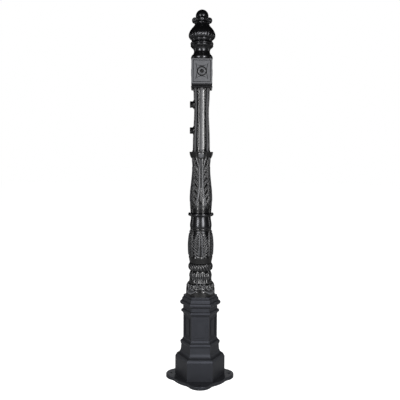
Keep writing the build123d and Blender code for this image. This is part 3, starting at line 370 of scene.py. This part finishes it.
def carve(blank, bore, depth_at):
    """Sets each outer point of a blank to the radius in mm that depth_at gives for its angle in
    degrees and height in mm, and notes how far it stands proud of its ring, as a share of
    full_relief in metres."""
    points = points_of(blank)
    reach = np.hypot(points[:, 0], points[:, 1])
    outer = reach > bore / 1000 * 1.1
    angle = np.degrees(np.arctan2(points[outer, 1], points[outer, 0])) + 90
    radius = depth_at(angle, points[outer, 2] * 1000) / 1000
    points[outer, 0] *= radius / reach[outer]
    points[outer, 1] *= radius / reach[outer]
    move_points(blank, points)
    ring = np.unique(points[outer, 2].round(6), return_inverse=True)[1]
    middle = np.bincount(ring, radius) / np.bincount(ring)
    proud = np.zeros(len(points))
    proud[outer] = np.clip((radius - middle[ring]) / full_relief, 0, 1)
    blank.data.attributes.new("proud", "FLOAT", "POINT").data.foreach_set("value", proud)


def outline_at(outline, height, soften=2.6):
    """Radius at each height of a flowing side drawn through (height, radius) points."""
    heights, radii = np.array(outline, float).T
    fine = np.arange(heights[0] - 16, heights[-1] + 16, 0.25)
    weights = np.exp(-((np.arange(-8, 8.1, 0.25) / soften) ** 2))
    flowing = np.convolve(np.interp(fine, heights, radii), weights / weights.sum(), "same")
    return np.interp(height, fine, flowing)


def ease(value, low, high):
    """Smooth climb from 0 to 1 between two values."""
    share = np.clip((value - low) / (high - low), 0, 1)
    return share * share * (3 - 2 * share)


def spread(angle, repeats):
    """Angle from the middle of the nearest of this many equal sectors, the first facing forward."""
    sector = 360 / repeats
    return (angle + sector / 2) % sector - sector / 2


def lobe(across, height, root, tip, half_wide, rise):
    """Height of one slender leaf lobe, round in section, that runs from its root to its tip."""
    run = np.subtract(tip, root)
    length = np.hypot(*run)
    along = ((across - root[0]) * run[0] + (height - root[1]) * run[1]) / length**2
    aside = ((across - root[0]) * run[1] - (height - root[1]) * run[0]) / length
    inside = np.clip(along, 0, 1)
    width = half_wide * (0.35 + 0.65 * np.sqrt(np.clip(1 - (2 * inside - 0.9) ** 2 / 1.25, 0, 1)))
    section = np.clip(1 - (aside / width) ** 2, 0, 1) ** 1.25
    ends = ease(along, -0.12, 0.12) * (1 - ease(along, 0.86, 1.1))
    return rise * section * ends * (0.7 + 0.3 * inside)


def ridge(across, height, line, half_wide, rise):
    """Height of a rounded ridge that follows a line of (across, height) points, highest first."""
    line = np.array(line[::-1], float)
    middle = np.interp(height, line[:, 1], line[:, 0])
    section = np.clip(1 - ((across - middle) / half_wide) ** 2, 0, 1) ** 1.25
    low, high = line[0, 1], line[-1, 1]
    return rise * section * ease(height, low, low + 14) * (1 - ease(height, high - 10, high))


def select_only(pieces):
    bpy.ops.object.select_all(action="DESELECT")
    for piece in pieces:
        piece.select_set(True)
    bpy.context.view_layer.objects.active = pieces[0]


def finish_casting(piece, node, material, smooth_angle=78):
    """Shades a carved casting, gives it its enamel and seats it in place of its plain CAD blank."""
    select_only([piece])
    bpy.ops.object.shade_smooth_by_angle(angle=math.radians(smooth_angle))
    piece.data.materials.append(material)
    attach(piece, "post")
    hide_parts(node)


sleeve_outline = (
    (1054, 65), (1068, 66), (1100, 69.7), (1138, 71), (1163, 70.4), (1194, 68.2), (1226, 64.2),
    (1257, 60.9), (1288, 57.8), (1320, 55.9), (1351, 56.9), (1382, 60.4), (1407, 65.8), (1432, 74.5),
)
sleeve_lobes = (
    ((10, 1316), (33, 1398)), ((17, 1290), (41, 1348)), ((17, 1254), (43, 1309)),
    ((17, 1218), (44, 1270)), ((18, 1178), (45, 1230)), ((22, 1142), (46, 1190)),
    ((29, 1104), (47, 1148)),
)
leaf_stem = ((13, 1346), (12, 1300), (12, 1215), (15, 1176), (24, 1128), (34, 1092))
stem_half_wide, stem_rise = 8.5, 5.6
middle_rib = ((0, 1214), (0, 1112))
rib_half_wide, rib_rise = 4.4, 4.2
lobe_half_wide, lobe_rise = 5.2, 5.4
web_heights, web_half_wide, web_rise = (1080, 1140, 1190, 1240), (44, 27, 17, 14), 2.9
seam_rise = 3.4
bud_height, bud_half_wide, bud_half_high, bud_rise = 1411, 27, 19.5, 6.8
leaves = 4
half_leaf = 180 / leaves
sleeve_degree = 1.16
ground = 4.0


def sleeve_radius(angle, height):
    """Radius in mm of the sleeve; ground is how deep the carving goes, sleeve_degree the width in
    mm of one degree, and the other heights and widths are in mm."""
    radius = outline_at(sleeve_outline, height, 5)
    turn = np.abs(spread(angle, leaves))
    across = turn * sleeve_degree
    raised = np.zeros(height.shape)
    for root, tip in sleeve_lobes:
        root = (root[0] * sleeve_degree, root[1])
        tip = (tip[0] * sleeve_degree, tip[1])
        raised = np.maximum(raised, lobe(across, height, root, tip, lobe_half_wide, lobe_rise))
    web_edge = np.interp(height, web_heights, web_half_wide)
    web = 1 - ease(across, web_edge - 2, web_edge + 7)
    web = web_rise * web * (1 - ease(height, 1376, 1394))
    raised = np.maximum(raised, web)
    raised = np.maximum(raised, ridge(across, height, leaf_stem, stem_half_wide, stem_rise))
    raised = np.maximum(raised, ridge(across, height, middle_rib, rib_half_wide, rib_rise))
    seam = ease(half_leaf - turn, 4.5, 0.6)
    seam = seam * ease(height, 1096, 1130) * (1 - ease(height, 1366, 1390))
    raised = np.maximum(raised, seam_rise * seam)
    bud_reach = (across / bud_half_wide) ** 2 + ((height - bud_height) / bud_half_high) ** 2
    bud = bud_rise * np.clip(1 - bud_reach, 0, 1) ** 0.55
    bud = bud - bud_reach.clip(0, 1) * 0.5 * (1 + np.cos(across * 0.62))
    hollow = 1 - ease(np.abs(np.sqrt(bud_reach) - 1.1), 0.02, 0.2)
    rim = ease(height, 1398, 1414) * (1 - hollow)
    raised = np.maximum(raised * (1 - hollow * (height > 1392)), ground * rim * 0.8)
    raised = np.maximum(raised, bud)
    lip = ease(height, 1424, 1430)
    foot = 1 - ease(height, 1072, 1092)
    raised = raised * (1 - foot) + ground * foot
    return radius - ground + raised * (1 - lip) + ground * lip


leaf_sleeve = turned_blank("leaf_sleeve_casting", 1054, 1432, 71, column_bore, 360, 260)
carve(leaf_sleeve, column_bore, sleeve_radius)
finish_casting(leaf_sleeve, "leaf_sleeve", carved_iron)

# ---- Leaf baluster
# The full-bellied casting under the plain band: four broad leaves with ribbed sides, their tips
# folded over in pairs, and a narrow dart between each two. Sand-cast iron.
baluster_outline = (
    (738, 68.5), (758, 72.2), (783, 77.7), (815, 79.6), (847, 80.6), (879, 78.9), (904, 76.4),
    (929, 71.6), (955, 65.5),
)
lobe_reaches = (46, 52, 54, 54, 52, 48, 42, 34)
lowest_lobe, lobe_pitch, lobe_root, lobe_climb = 776, 18, 13, 0.8
blade_stem = ((7, 932), (8, 880), (11, 780))
fold_across, fold_height, fold_half_wide, fold_half_high, fold_rise = 18, 935, 15.5, 9.5, 6.6
dart_heights, dart_half_wide, dart_rise = (776, 800, 880, 936), (10, 9, 6, 1.5), 3.8
baluster_degree = 1.37


def baluster_radius(angle, height):
    """Radius in mm of the baluster; the widths and heights of its carving are in mm."""
    radius = outline_at(baluster_outline, height, 5)
    turn = np.abs(spread(angle, leaves))
    across = turn * baluster_degree
    raised = np.zeros(height.shape)
    for step, reach in enumerate(lobe_reaches):
        start = lowest_lobe + lobe_pitch * step
        tip = (reach, start + lobe_climb * (reach - lobe_root))
        raised = np.maximum(raised, lobe(across, height, (lobe_root, start), tip, 5.4, 5.2))
    raised = np.maximum(raised, ridge(across, height, blade_stem, 6.8, 5.6))
    fold = ((across - fold_across) / fold_half_wide) ** 2
    fold = fold + ((height - fold_height) / fold_half_high) ** 2
    under_fold = 1 - ease(np.abs(np.sqrt(fold) - 1.15), 0.05, 0.3)
    raised = raised * (1 - under_fold * (height > 915))
    raised = np.maximum(raised, fold_rise * np.clip(1 - fold, 0, 1) ** 0.6)
    gap = (half_leaf - turn) * baluster_degree
    dart_edge = np.interp(height, dart_heights, dart_half_wide)
    dart = np.clip(1 - (gap / dart_edge) ** 2, 0, 1) ** 1.2
    dart = dart_rise * dart * ease(height, 776, 792) * (1 - ease(height, 918, 938))
    raised = np.maximum(raised, dart)
    ragged = 777 + 2 * np.cos(np.radians(angle * 24))
    plain = np.maximum(1 - ease(height, ragged - 9, ragged + 11), ease(height, 943, 951))
    return radius - ground + raised * (1 - plain) + ground * plain


leaf_baluster = turned_blank("leaf_baluster_casting", 738, 955, 78, column_bore, 360, 200)
carve(leaf_baluster, column_bore, baluster_radius)
finish_casting(leaf_baluster, "leaf_baluster", carved_iron)

# ---- Rope ring
# A thick ring cast as twisted rope, twenty-four strands that climb to the left, each strand
# full in the middle and drawn tight where it meets the next. Sand-cast iron.
rope_foot, rope_top = 688, 738
rope_root, rope_rise = 60.5, 17.3
strands = 24


def rope_radius(angle, height):
    """Radius in mm of the ring, its strands shifting round as they climb."""
    share = (height - (rope_foot + rope_top) / 2) / ((rope_top - rope_foot) / 2)
    swell = np.sqrt(np.clip(1 - share**2, 0, 1))
    lay = spread(angle + 11 * share - 3 * share * swell, strands) / (180 / strands)
    strand = np.sqrt(np.clip(1 - (lay * 0.97) ** 2, 0, 1))
    return rope_root + rope_rise * swell * (0.72 + 0.28 * strand)


rope_ring = turned_blank("rope_ring_casting", rope_foot, rope_top, 70, column_bore, 576, 60)
carve(rope_ring, column_bore, rope_radius)
finish_casting(rope_ring, "rope_ring", carved_iron)

# ---- Neck collar
# A bell standing on the pedestal cap, a scrolled skirt whose hem arches over it four times, and
# a ribbed bulge above. Sand-cast iron, its scrolls carved on the pattern.
collar_outline = (
    (533, 91), (572, 91), (581, 87), (597, 83.7), (610, 77.7), (633, 73.4), (645, 73.6),
    (657, 76), (668, 73.8), (674, 71.9), (681, 68.6), (688, 65.5),
)
scroll_rise = 4.6
hem_height, hem_swing = 562, 15
collar_degree = 1.47
gadroons = 30


def scroll(across, height, middle, half_wide, half_high, turns_open):
    """Height in mm of a rolled scroll: a raised rim round a raised eye, more or less open above."""
    reach = np.hypot((across - middle[0]) / half_wide, (height - middle[1]) / half_high)
    rim = np.exp(-(((reach - 0.78) / 0.24) ** 2))
    eye = 0.7 * np.exp(-((reach / 0.26) ** 2))
    opening = 1 - turns_open * ease((height - middle[1]) / half_high, 0.45, 0.8)
    return scroll_rise * (rim * opening + eye)


def collar_radius(angle, height):
    """Radius in mm of the collar, its skirt hemmed in four arches under scrolls and gadroons."""
    radius = outline_at(collar_outline, height, 3)
    across = spread(angle, leaves) * collar_degree
    hem = hem_height + hem_swing * np.cos(np.radians(angle * leaves))
    skirt = ease(height, hem - 1.5, hem + 1.5) * (1 - ease(height, 604, 618))
    relief = 3.4 * skirt - 3.4 * ease(height, 560, 580)
    lip = 2.2 * np.exp(-(((height - hem - 4.5) / 3.2) ** 2))
    relief = relief + lip
    scrolls = np.zeros(height.shape)
    for middle in (-24, 0, 24):
        scrolls = np.maximum(scrolls, scroll(across, height, (middle, 600), 9, 14, 0.0))
    for middle in (-55, 55):
        scrolls = np.maximum(scrolls, scroll(across, height, (middle, 595), 14, 20, 0.9))
    wave = np.radians(angle * gadroons)
    ribs = 0.5 * np.cos(wave) - 0.5
    band = ease(height, 632, 648) * (1 - ease(height, 670, 682))
    stalks = ease(height, 606, 622) * (1 - ease(height, 632, 648))
    relief = relief + scrolls * (1 - ease(height, 612, 626)) + 3.6 * ribs * band
    return radius + relief + 1.8 * ribs * stalks


neck_collar = turned_blank("neck_collar_casting", 533, 688, 80, column_bore, 480, 150)
carve(neck_collar, column_bore, collar_radius)
finish_casting(neck_collar, "neck_collar", carved_iron)

# ---- Finial base
# The turned-looking foot of the finial: a roll on the block, a deep scotia and a broad torus cast
# as two rolls with a quirk between them. Hollow underneath to clear the washer and the plug.
base_bore = 47
base_outline = (
    (1993, 61), (1995, 63.2), (1998, 65.2), (2002, 66.6), (2007, 67.1), (2012, 66.5),
    (2017, 64.9), (2022, 62), (2024.9, 58.4), (2028.3, 55.3), (2032.2, 52.8), (2036.4, 51),
    (2040.8, 49.8), (2045.4, 49.3), (2050, 49.6), (2054.5, 50.6), (2058.7, 52.3), (2062.7, 54.7),
    (2066.2, 57.6), (2069.2, 61.1), (2071.7, 64.5), (2076.1, 68.4), (2081.4, 70.9), (2087, 72),
    (2092.9, 71.6), (2098.4, 69.7), (2103.2, 66.4), (2107, 62),
)


def base_radius(angle, height):
    """Radius in mm of the base, the same all the way round."""
    quirk = 5.5 * np.exp(-(((height - 2087) / 3.4) ** 2))
    return outline_at(base_outline, height, 1.2) - quirk


finial_base = turned_blank("finial_base_casting", 1993, 2107, 60, base_bore, 256, 170)
carve(finial_base, base_bore, base_radius)
finish_casting(finial_base, "finial_base", gloss_iron)

# ---- Finial bulb
# Onion-shaped casting under the crown, twenty shallow gadroons round its belly that die away
# upwards. Held between the finial base and the crown by the stud that runs through them.
bulb_bore = 8
bulb_outline = (
    (2107, 60), (2110, 62.5), (2116, 66), (2118.5, 65), (2124, 75.5), (2132, 80.6), (2142, 82.8),
    (2151, 82), (2160, 79.3), (2169, 75), (2178, 68.8), (2187, 61.5), (2196, 53.4), (2205, 46.6),
    (2212, 44),
)
bulb_gadroons, gadroon_deep = 20, 4.2


def bulb_radius(angle, height):
    """Radius in mm of the bulb, its gadroons dying away upwards."""
    radius = outline_at(bulb_outline, height, 2.2)
    across = spread(angle, bulb_gadroons) / (180 / bulb_gadroons)
    swell = np.sqrt(1 - 0.9 * across**2) - 1
    return radius + gadroon_deep * swell * ease(height, 2117, 2130) * (1 - ease(height, 2152, 2192))


finial_bulb = turned_blank("finial_bulb_casting", 2107, 2212, 70, bulb_bore, 400, 110)
carve(finial_bulb, bulb_bore, bulb_radius)
finish_casting(finial_bulb, "finial_bulb", gloss_iron)

# ---- Finial crown
# A ball in a cup of four leaves that roll outwards, one to each side of the post. One casting,
# tapped underneath to screw down on the stud.
ball_centre, ball_radius = 2.2606, 0.0394
curl_height, curl_out = 2.2345, 0.0447
curl_reach, curl_half_wide, curl_half_high = 0.0182, 0.0215, 0.0188
curl_turns = 1.7
cup_bore = 6
cup_outline = (
    (2212, 44), (2215, 46.5), (2218, 46), (2221, 42), (2226, 40), (2232, 40), (2238, 42),
    (2242, 45), (2245, 45.5), (2247.5, 43), (2248.5, 38),
)
bpy.ops.object.select_all(action="DESELECT")
bpy.ops.mesh.primitive_uv_sphere_add(
    segments=96, ring_count=64, radius=ball_radius, location=(0, 0, ball_centre)
)
crown_parts = [bpy.context.object]
cup = turned_blank("crown_cup", 2212, 2249, 40, cup_bore, 192, 60)


def cup_radius(angle, height):
    """Radius in mm of the cup under the ball, drawn in between the leaves."""
    radius = outline_at(cup_outline, height, 1.4)
    leaf = np.abs(spread(angle, leaves)) / half_leaf
    return radius + 2.4 * (np.cos(math.pi * leaf) - 0.2) * np.exp(-(((height - 2224) / 9) ** 2))


carve(cup, cup_bore, cup_radius)
crown_parts.append(cup)
for quarter in range(leaves):
    facing = math.radians(2 * half_leaf * quarter)
    bpy.ops.object.select_all(action="DESELECT")
    bpy.ops.mesh.primitive_uv_sphere_add(
        segments=64, ring_count=40, radius=1, location=(curl_out, 0, curl_height)
    )
    curl = bpy.context.object
    curl.scale = (curl_reach, curl_half_wide, curl_half_high)
    bpy.ops.object.transform_apply(location=True, rotation=False, scale=True)
    points = points_of(curl)
    out = points[:, 0] - curl_out
    up = points[:, 2] - curl_height
    rolled = np.hypot(out / curl_reach, up / curl_half_high)
    winding = np.arctan2(up, out) / (2 * math.pi)
    fold = np.cos(2 * math.pi * (rolled * curl_turns - winding))
    end_face = ease(np.abs(points[:, 1]) / curl_half_wide, 0.35, 0.8)
    points[:, 1] *= 1 - 0.11 * (fold < -0.3) * end_face
    points[:, 1] *= 1 - 0.30 * ease(-out - up, 0.0, 0.02)
    rib = np.exp(-((points[:, 1] / 0.0028) ** 2))
    shrink = 1 - 0.07 * rib
    points[:, 0] = curl_out + out * shrink
    points[:, 2] = curl_height + up * shrink
    turned = points.copy()
    turned[:, 0] = points[:, 0] * math.cos(facing) - points[:, 1] * math.sin(facing)
    turned[:, 1] = points[:, 0] * math.sin(facing) + points[:, 1] * math.cos(facing)
    move_points(curl, turned)
    crown_parts.append(curl)
select_only(crown_parts)
bpy.ops.object.join()
finial_crown = bpy.context.object
finial_crown.name = "finial_crown_casting"
bpy.ops.object.transform_apply(location=True, rotation=True, scale=True)
fuse = finial_crown.modifiers.new("fuse", "REMESH")
fuse.mode = "VOXEL"
fuse.voxel_size = 0.0009
bpy.ops.object.modifier_apply(modifier=fuse.name)
settle = finial_crown.modifiers.new("settle", "SMOOTH")
settle.factor = 0.5
settle.iterations = 6
bpy.ops.object.modifier_apply(modifier=settle.name)
finish_casting(finial_crown, "finial_crown", gloss_iron, 60)

# ---- Core steel
# The tube, plates, rings, clamps, washer and plug inside the post: mill steel with a thin grey
# primer, faintly drawn along its length and mottled with dry rust where the film is thin.
core = Finish("primed_steel")
mottle = core.noise(45, 6, 0.7)
speck = core.noise(420, 3)
rust_share = core.span(mottle * 0.8 + speck * 0.2, 0.54, 0.7)
primer = core.mix(speck, (0.16, 0.17, 0.18, 1), (0.24, 0.25, 0.26, 1))
core_colour = core.mix(rust_share, primer, (0.16, 0.06, 0.025, 1))
core_steel = core.surface(
    Base_Color=core_colour, Metallic=0.35 - rust_share * 0.3, Roughness=0.42 + rust_share * 0.4,
    Normal=core.bump(speck, 0.00015, 0.5),
)
dress(
    core_steel, "core_tube", "bridge_plate", "board_clamps", "centring_rings", "top_washer",
    "tube_plug",
)

# ---- Zinc fasteners
# Bolts, nuts, board screws, cam screw and the long stud: bright zinc with the faint yellow and
# blue bloom of passivation and small dull patches where spanners have turned them.
zinc = Finish("zinc_plate")
bloom = zinc.noise(140, 3)
scuff = zinc.noise(700, 5, 0.65)
zinc_colour = zinc.mix(bloom, (0.52, 0.5, 0.42, 1), (0.56, 0.6, 0.66, 1))
zinc_metal = zinc.surface(
    Base_Color=zinc_colour, Metallic=1.0, Roughness=0.24 + scuff * 0.24,
    Normal=zinc.bump(scuff, 0.00006, 0.4),
)
dress(
    zinc_metal, "board_screws", "bridge_bolts", "pedestal_bolts", "pedestal_nuts", "cap_bolts",
    "cap_nuts", "cam_screw", "ring_nuts", "finial_stud",
)

# ---- Brass
# The threaded inserts of the two side bosses and the earth stud: turned brass, gone brown in
# soft patches away from the hands that use it.
brass = Finish("dulled_brass")
tarnish = brass.span(brass.noise(160, 5, 0.65), 0.42, 0.68)
turning = brass.noise(1100, 2)
brass_colour = brass.mix(tarnish, (0.68, 0.46, 0.17, 1), (0.24, 0.14, 0.055, 1))
brass_metal = brass.surface(
    Base_Color=brass_colour, Metallic=1.0, Roughness=0.24 + tarnish * 0.26,
    Normal=brass.bump(turning, 0.00005, 0.4),
)
dress(brass_metal, "boss_inserts", "earth_stud")

# ---- Hinge steel
# The pins of the service door, drawn stainless rod with fine lines along it.
hinge = Finish("drawn_stainless")
east, north, height = hinge.parts(hinge.place)
stretched = hinge.node("CombineXYZ", {}, {0: east * 60, 1: north * 60, 2: height * 2})
drawn = hinge.node("TexNoise", {}, {"Vector": stretched, "Scale": 60.0, "Detail": 3.0}, "Fac")
hinge_colour = hinge.mix(drawn, (0.42, 0.42, 0.41, 1), (0.6, 0.6, 0.6, 1))
hinge_steel = hinge.surface(
    Base_Color=hinge_colour, Metallic=1.0, Roughness=0.22 + drawn * 0.2,
    Normal=hinge.bump(drawn, 0.00004, 0.4),
)
dress(hinge_steel, "hinge_pins")

# ---- Lock
# Bush, nut, cam and spindle of the budget lock: nickel over brass, rubbed soft on the end where
# the key seats, with a faint warm cast in the worn patches.
nickel = Finish("worn_nickel")
rub = nickel.span(nickel.noise(260, 5, 0.6), 0.4, 0.7)
fine = nickel.noise(1500, 2)
nickel_colour = nickel.mix(rub, (0.56, 0.53, 0.48, 1), (0.48, 0.38, 0.24, 1))
lock_metal = nickel.surface(
    Base_Color=nickel_colour, Metallic=1.0, Roughness=0.2 + rub * 0.18 + fine * 0.06,
    Normal=nickel.bump(fine, 0.00003, 0.4),
)
dress(lock_metal, "lock_bush", "lock_nut", "lock_cam", "lock_spindle")

# ---- Rubber
# The door gasket and the cable bush: moulded black rubber with a chalky bloom in patches.
rubber = Finish("moulded_rubber")
chalk = rubber.span(rubber.noise(90, 6, 0.7), 0.45, 0.75)
pores = rubber.noise(1300, 3)
rubber_colour = rubber.mix(chalk, (0.013, 0.013, 0.014, 1), (0.045, 0.044, 0.042, 1))
gasket_rubber = rubber.surface(
    Base_Color=rubber_colour, Roughness=0.62 + chalk * 0.22, Normal=rubber.bump(pores, 0.0001, 0.5)
)
dress(gasket_rubber, "door_gasket", "cable_bush")

# ---- Supply board
# Phenolic laminate sheet: warm brown with the weave of its paper just visible in the surface.
board = Finish("phenolic_board")
east, _, height = board.parts(board.place)
threads = 3200
weave = (east * threads).sums("SINE") * (height * threads).sums("SINE")
cloud = board.noise(35, 4)
board_colour = board.mix(cloud, (0.13, 0.052, 0.02, 1), (0.2, 0.085, 0.032, 1))
board_laminate = board.surface(
    Base_Color=board_colour, Roughness=0.34 + cloud * 0.12, Normal=board.bump(weave, 0.00004, 0.3)
)
dress(board_laminate, "supply_board")

# ---- Cut-out and terminals
# Fused cut-out and terminal block: moulded urea plastic, cream grey, fine spark texture and a
# slight yellowing that comes and goes.
plastic = Finish("moulded_plastic")
age = plastic.noise(55, 4)
spark = plastic.noise(1600, 2)
plastic_colour = plastic.mix(age, (0.5, 0.49, 0.44, 1), (0.6, 0.56, 0.46, 1))
cutout_plastic = plastic.surface(
    Base_Color=plastic_colour, Roughness=0.36 + spark * 0.12,
    Normal=plastic.bump(spark, 0.00006, 0.5),
)
dress(cutout_plastic, "fused_cutout", "terminal_block")

# ---- Rosette screws
# The round-headed screws in the middle of each rosette, painted over with the post, their
# enamel chipped back to steel in a few small flecks.
chipped = Finish("painted_screws")
coat_colour, coat_roughness, coat_surface = enamel_coat(chipped, 0.004, 0.28, 0.6)
chip = chipped.span(chipped.noise(620, 4, 0.6), 0.66, 0.7)
painted_screw = chipped.surface(
    Base_Color=chipped.mix(chip, coat_colour, (0.22, 0.2, 0.19, 1)), Metallic=chip * 0.8,
    Roughness=coat_roughness + chip * 0.2, Normal=coat_surface,
)
dress(painted_screw, "rosette_screws")

# ---- Studio floor
# Seamless paper that glows white to the camera alone, so that it meets the white surround without
# a line and still throws little light on the post.
bpy.ops.object.select_all(action="DESELECT")
bpy.ops.mesh.primitive_circle_add(vertices=96, radius=40, fill_type="NGON", location=(0, 0, 0))
floor = bpy.context.object
floor.name = "floor"
paper = Finish("seamless_paper")
fibre = paper.noise(7, 2)
paper_tone = paper.mix(fibre, (0.46, 0.46, 0.46, 1), (0.5, 0.5, 0.5, 1))
seen = paper.node("LightPath", {}, {}, "Is Camera Ray")
paper_glow = paper.mix(seen, (0.03, 0.03, 0.03, 1), (1, 1, 1, 1))
paper.surface(Base_Color=paper_tone, Roughness=0.9, Emission_Color=paper_glow, Emission_Strength=1.0)
floor.data.materials.append(paper.material)
